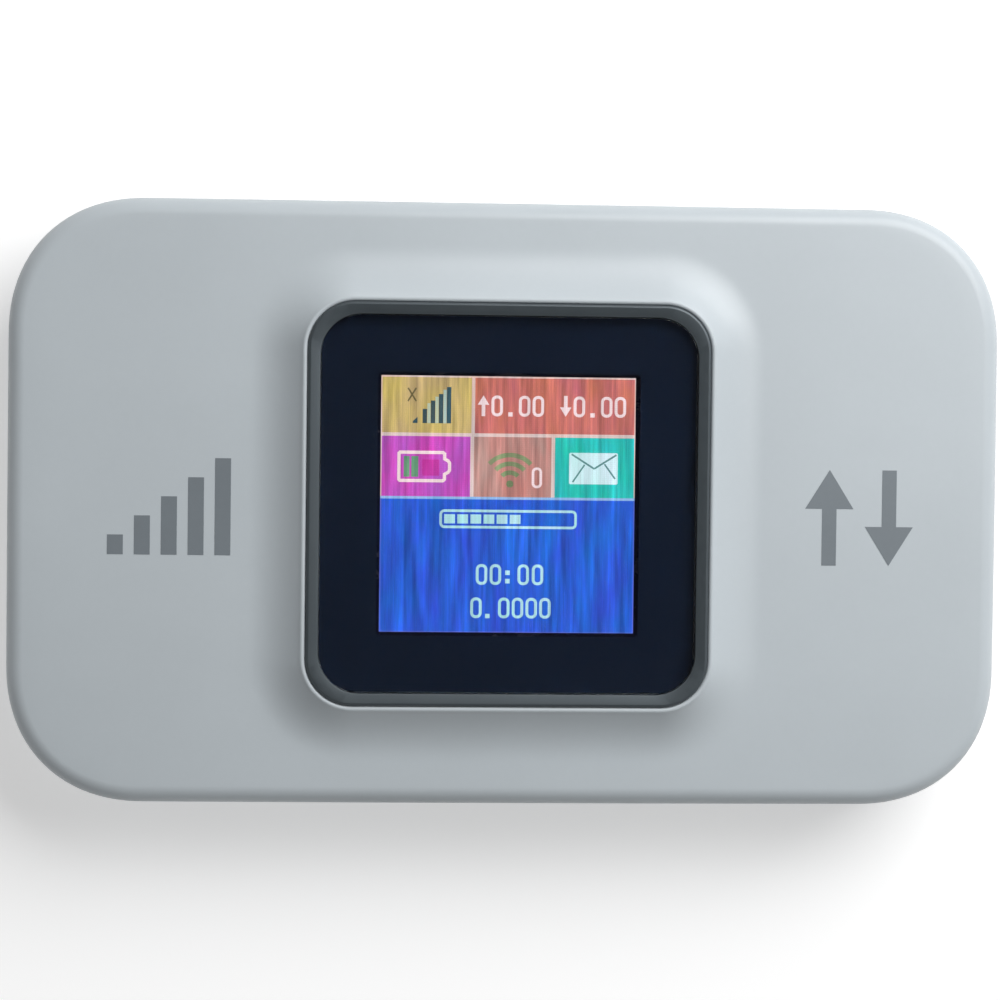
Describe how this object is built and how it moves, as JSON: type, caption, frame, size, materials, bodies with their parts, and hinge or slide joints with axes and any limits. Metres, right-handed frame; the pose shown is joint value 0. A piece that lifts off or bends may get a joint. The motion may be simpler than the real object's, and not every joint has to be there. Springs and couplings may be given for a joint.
{
  "type": "mobile hotspot",
  "caption": "Pocket wireless router: white rounded slab with a raised square display in a metal trim, a removable back cover and a battery in its bay.",
  "frame": {"origin": "under the middle of the body, on the back cover's flat outer face", "axes": "+Z out of the display, +X to the right-hand end seen from the display side, +Y to the long edge with the power button"},
  "size_m": [0.1012, 0.0612, 0.0163],
  "materials": {
    "shell_white": "semi-gloss moulded plastic",
    "frame_grey": "fine matte",
    "ring_gunmetal": "dark plated trim",
    "lens_clear": "polished clear acrylic",
    "mask_black": "printed film",
    "panel_face": "lit display face",
    "panel_glass": "panel glass",
    "plastic_white": "plain",
    "plastic_black": "plain",
    "foam_black": "closed-cell foam",
    "flex_amber": "polyimide film",
    "board_green": "solder mask",
    "tin_plate": "tin-plated sheet",
    "steel": "stainless sheet",
    "gold_plate": "gold-plated contact",
    "chip_black": "moulded package",
    "ferrite_grey": "sintered",
    "carrier_cream": "plain",
    "cell_wrap": "plain wrapped cell"
  },
  "bodies": {
    "housing": {"front_shell": "shell_white", "chassis_frame": "frame_grey", "bezel_ring": "ring_gunmetal", "display_lens": "lens_clear", "lens_mask": "mask_black", "lens_gasket": "foam_black", "lcd_polariser": "panel_face", "lcd_glass": "panel_glass", "lcd_tray": "plastic_white", "lcd_flex": "flex_amber", "lcd_connector": "plastic_white", "lcd_foam": "foam_black", "main_board": "board_green", "modem_shield": "tin_plate", "radio_shield": "tin_plate", "power_shield": "tin_plate", "wifi_chip": "chip_black", "power_inductor": "ferrite_grey", "antenna_left": "carrier_cream", "antenna_right": "carrier_cream", "wifi_antenna": "gold_plate", "usb_shell": "steel", "usb_tongue": "plastic_black", "power_switch_body": "plastic_black", "reset_switch_body": "tin_plate", "card_holder_base": "plastic_black", "card_holder_cover": "steel", "card_contact_1": "gold_plate", "card_contact_2": "gold_plate", "card_contact_3": "gold_plate", "card_contact_4": "gold_plate", "card_contact_5": "gold_plate", "card_contact_6": "gold_plate", "battery_connector": "plastic_black", "battery_contact_1": "gold_plate", "battery_contact_2": "gold_plate", "battery_contact_3": "gold_plate", "chassis_screw_1": "steel", "chassis_screw_2": "steel", "chassis_screw_3": "steel", "chassis_screw_4": "steel"},
    "power_key": {"power_button": "shell_white", "power_switch_plunger": "plastic_white"},
    "reset_key": {"reset_switch_plunger": "plastic_black"},
    "cover": {"back_cover": "shell_white"},
    "battery": {"battery_cell": "cell_wrap", "battery_head_cap": "plastic_black", "battery_tail_cap": "plastic_black", "battery_pad_board": "gold_plate"}
  },
  "joints": [
    {"name": "power_button_press", "type": "slide", "parent": "housing", "child": "power_key", "axis": [0, -1, 0], "range_m": [0, 0.0004], "stiffness_N_per_m": 400},
    {"name": "reset_press", "type": "slide", "parent": "housing", "child": "reset_key", "axis": [0, 0, 1], "range_m": [0, 0.0002], "stiffness_N_per_m": 400},
    {"name": "back_cover_lift", "type": "slide", "parent": "housing", "child": "cover", "axis": [0, 0, -1], "range_m": [0, 0.04]},
    {"name": "battery_lift", "type": "slide", "parent": "housing", "child": "battery", "axis": [0, 0, -1], "range_m": [0, 0.02]}
  ],
  "couplings": [
    {"joint": "battery_lift", "follows": "back_cover_lift", "ratio": 0.5}
  ]
}
